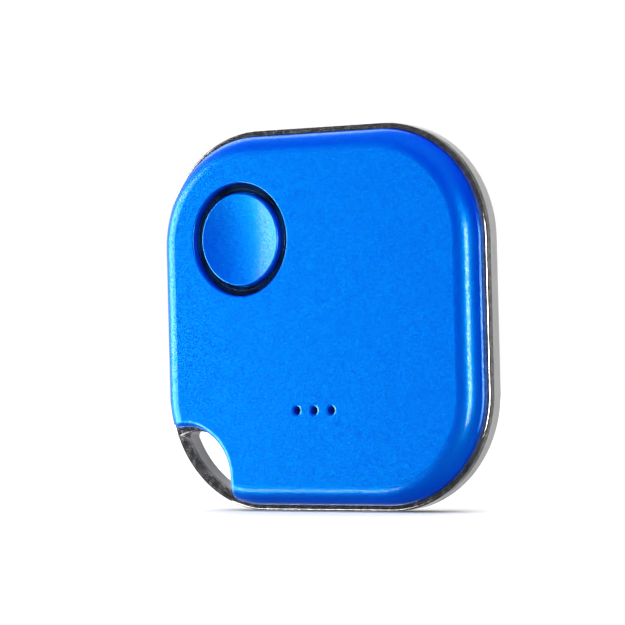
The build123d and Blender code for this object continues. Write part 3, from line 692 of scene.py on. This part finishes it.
def make_floor():
    """Wide pale floor at the tag's lower edge."""
    mesh = bpy.data.meshes.new("floor")
    surface = bmesh.new()
    bmesh.ops.create_circle(surface, cap_ends=True, segments=96, radius=FLOOR_RADIUS)
    bmesh.ops.translate(surface, verts=surface.verts, vec=(0, 0, CAD_BOX[0].z))
    surface.to_mesh(mesh)
    surface.free()
    floor = bpy.data.objects.new("floor", mesh)
    bpy.context.scene.collection.objects.link(floor)
    material, tree, shader = new_material("floor_paper", Roughness=0.9)
    grain = use_group(tree, GRAIN, Grain_Size=2 * MM, Cloud_Size=60 * MM)
    colours = [(0.3, (0.86, 0.86, 0.865)), (0.7, (0.88, 0.88, 0.885))]
    link(tree, ramp(tree, grain["Cloud"], colours), shader["Base Color"])
    mesh.materials.append(material)
    floor.visible_glossy = False


def direction(azimuth, elevation):
    """Unit vector from the tag: azimuth 0 is the front and 90 the right-hand side."""
    a, e = math.radians(azimuth), math.radians(elevation)
    return Vector((math.sin(a) * math.cos(e), -math.cos(a) * math.cos(e), math.sin(e)))


def add_softbox(name, azimuth, elevation, distance, width, height, radiance):
    """Rectangular light that faces the tag."""
    data = bpy.data.lights.new(name, "AREA")
    data.shape = "RECTANGLE"
    data.size = width
    data.size_y = height
    data.energy = radiance * math.pi * width * height
    lamp = bpy.data.objects.new(name, data)
    towards = direction(azimuth, elevation)
    centre = (CAD_BOX[0] + CAD_BOX[1]) / 2
    lamp.location = centre + towards * distance
    lamp.rotation_mode = "QUATERNION"
    lamp.rotation_quaternion = towards.to_track_quat("Z", "Y")
    lamp.visible_camera = False
    lamp.visible_glossy = name not in UNMIRRORED_LIGHTS
    bpy.context.scene.collection.objects.link(lamp)


def make_world():
    """White studio behind and to the left; dark in front and to the right."""
    world = bpy.data.worlds.new("studio")
    world.use_nodes = True
    bpy.context.scene.world = world
    tree = world.node_tree
    background = tree.nodes["Background"]
    view = add_node(tree, "ShaderNodeTexCoord").outputs["Generated"]

    def facing(azimuth, elevation):
        product = add_node(tree, "ShaderNodeVectorMath", operation="DOT_PRODUCT")
        link(tree, view, product.inputs[0])
        product.inputs[1].default_value = direction(azimuth, elevation)
        return product.outputs["Value"]

    front = span(tree, facing(35, 0), 0.9, 0.01, -0.5, 0.0)
    left = span(tree, facing(-80, 0), 0.3, 1.0, -0.3, 0.4)
    height = math_node(tree, "ABSOLUTE", facing(0, 90), 0.0)
    horizon = span(tree, height, 1.0, 0.12, 0.35, 0.75)
    level = math_node(tree, "MULTIPLY", front, math_node(tree, "MULTIPLY", left, horizon))
    seen = add_node(tree, "ShaderNodeLightPath").outputs["Is Camera Ray"]
    white = math_node(tree, "MAXIMUM", level, seen)
    link(tree, white, background.inputs["Color"])


def make_camera():
    """Long lens turned to the tag's right, with a slight roll."""
    yaw, pitch, roll = (math.radians(a) for a in (CAMERA_YAW, CAMERA_PITCH, CAMERA_ROLL))
    back = Vector((math.sin(yaw) * math.cos(pitch), -math.cos(yaw) * math.cos(pitch),
                   math.sin(pitch)))
    right = Vector((math.cos(yaw), math.sin(yaw), 0.0))
    up = back.cross(right)
    rolled_right = right * math.cos(roll) + up * math.sin(roll)
    rolled_up = up * math.cos(roll) - right * math.sin(roll)
    data = bpy.data.cameras.new("camera")
    data.lens = CAMERA_LENS
    data.sensor_width = CAMERA_SENSOR
    data.shift_x, data.shift_y = CAMERA_SHIFT
    data.clip_start = 0.01
    data.clip_end = 20.0
    camera = bpy.data.objects.new("camera", data)
    aim = Vector((0.0, CAMERA_AIM_DEPTH, (CAD_BOX[0].z + CAD_BOX[1].z) / 2))
    turn = Matrix((rolled_right, rolled_up, back)).transposed().to_4x4()
    camera.matrix_world = Matrix.Translation(aim + back * CAMERA_DISTANCE) @ turn
    bpy.context.scene.collection.objects.link(camera)
    bpy.context.scene.camera = camera
    bpy.context.scene.view_settings.view_transform = "Standard"


dress_nodes()
build_light_ring()
build_switch_sheet("switch_dome")
build_switch_sheet("switch_film")
build_end_capped("capacitors", "capacitor_tan")
build_end_capped("resistors", "ceramic_white", "resistor_black")
build_end_capped("inductor", "ferrite")
build_end_capped("antenna_chip", "ceramic_white")
build_radio_chip()
build_crystal()
build_status_lights()
build_cell_can()
make_floor()
for light, values in LIGHTS.items():
    add_softbox(light, *values)
make_world()
make_camera()
